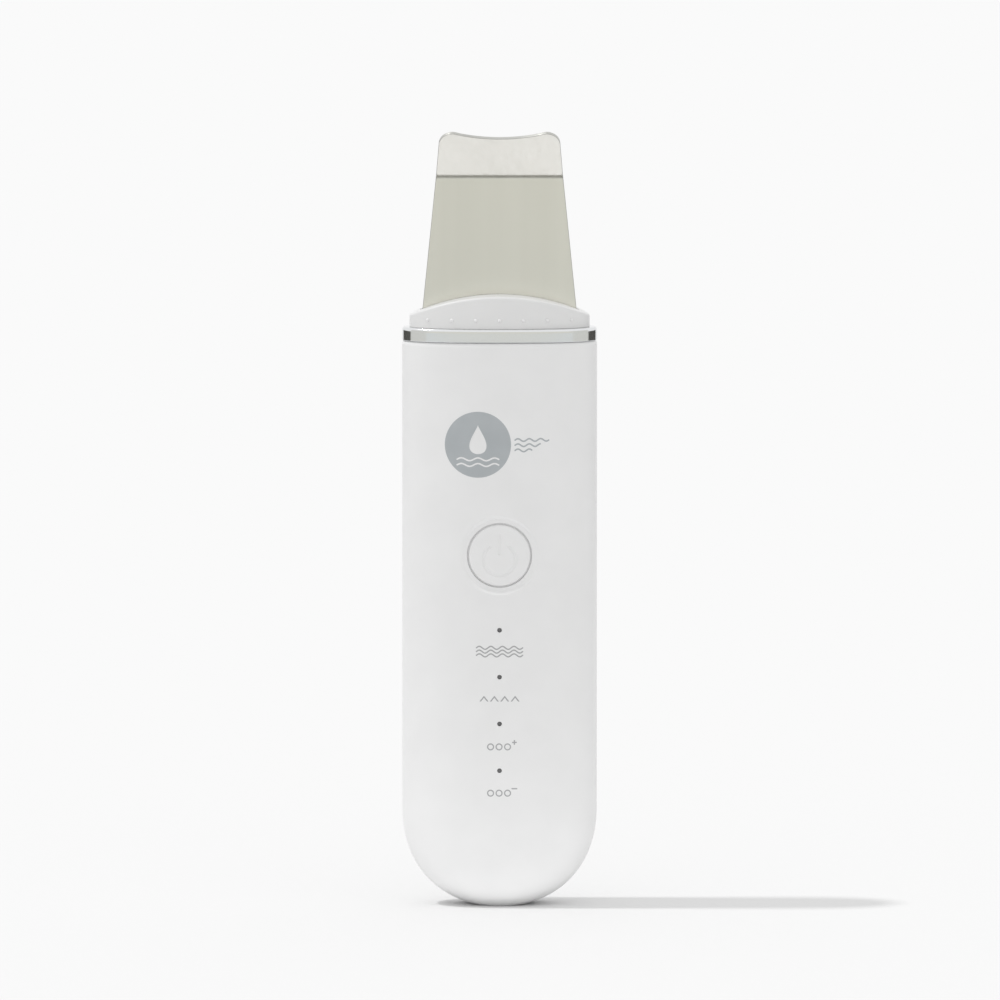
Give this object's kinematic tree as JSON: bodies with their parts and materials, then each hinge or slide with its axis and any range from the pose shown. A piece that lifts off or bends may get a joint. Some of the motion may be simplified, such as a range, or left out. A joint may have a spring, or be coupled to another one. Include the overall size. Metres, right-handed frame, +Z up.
{
  "type": "skin scrubber",
  "caption": "Slim handheld ultrasonic skin scrubber with a bent steel spatula blade, a chromed electrode band and a round power button.",
  "frame": {"origin": "centre of the flat foot at the rounded lower end, on the plane that the device stands on", "axes": "+Z up along the handle to the blade, +X to the right seen from the front; the front, with the button, faces -Y"},
  "size_m": [0.0414, 0.017, 0.1652],
  "materials": {
    "white_plastic": "satin",
    "inner_plastic": "matte",
    "chrome": "polished",
    "blade_steel": "satin",
    "clear_plastic": "gloss",
    "black_plastic": "matte",
    "light_white": "gloss",
    "board_green": "solder mask",
    "ferrite": "matte",
    "piezo_ceramic": "matte",
    "aluminium": "turned",
    "steel": "plated",
    "copper": "plain",
    "silicone": "matte",
    "battery_wrap": "foil",
    "foam": "matte",
    "wire_red": "matte",
    "wire_black": "matte",
    "wire_white": "matte"
  },
  "bodies": {
    "casing": {"back_mass": "steel", "back_shell": "white_plastic", "band_lead": "wire_black", "battery_cell": "battery_wrap", "battery_connector": "inner_plastic", "battery_lead_1": "wire_red", "battery_lead_2": "wire_black", "battery_pad": "foam", "blade": "blade_steel", "blade_collar": "white_plastic", "blade_gasket": "silicone", "blade_screw_1": "steel", "blade_screw_2": "steel", "board_screw_1": "steel", "board_screw_2": "steel", "boost_inductor": "black_plastic", "button_retainer": "inner_plastic", "case_screw_1": "steel", "case_screw_2": "steel", "case_screw_3": "steel", "case_screw_4": "steel", "center_electrode": "copper", "clamp_screw_1": "steel", "clamp_screw_2": "steel", "control_chip": "black_plastic", "drive_lead_1": "wire_red", "drive_lead_2": "wire_white", "drive_transformer": "ferrite", "drive_transistor": "black_plastic", "electrode_band": "chrome", "filter_capacitor": "aluminium", "front_shell": "white_plastic", "horn": "aluminium", "isolation_sleeve": "silicone", "led_1": "light_white", "led_2": "light_white", "led_3": "light_white", "led_4": "light_white", "light_guide": "clear_plastic", "main_board": "board_green", "piezo_ring_1": "piezo_ceramic", "piezo_ring_2": "piezo_ceramic", "screw_plug_1": "silicone", "screw_plug_2": "silicone", "screw_plug_3": "silicone", "screw_plug_4": "silicone", "seam_gasket": "silicone", "stack_bolt": "steel", "switch_body": "black_plastic", "transducer_clamp": "inner_plastic", "usb_socket": "steel"},
    "button": {"power_button": "white_plastic"},
    "plunger": {"switch_plunger": "black_plastic"},
    "cover": {"port_cover": "silicone"}
  },
  "joints": [
    {"name": "button_press", "type": "slide", "parent": "casing", "child": "button", "axis": [0, 1, 0], "range_m": [0, 0.0005], "stiffness_N_per_m": 400},
    {"name": "plunger_press", "type": "slide", "parent": "casing", "child": "plunger", "axis": [0, 1, 0], "range_m": [0, 0.0005]},
    {"name": "port_cover_hinge", "type": "hinge", "parent": "casing", "child": "cover", "pos_m": [0, 0.0085, 0.0148], "axis": [-1, 0, 0], "range_deg": [0, 100]}
  ],
  "couplings": [
    {"joint": "plunger_press", "follows": "button_press", "ratio": 1}
  ]
}
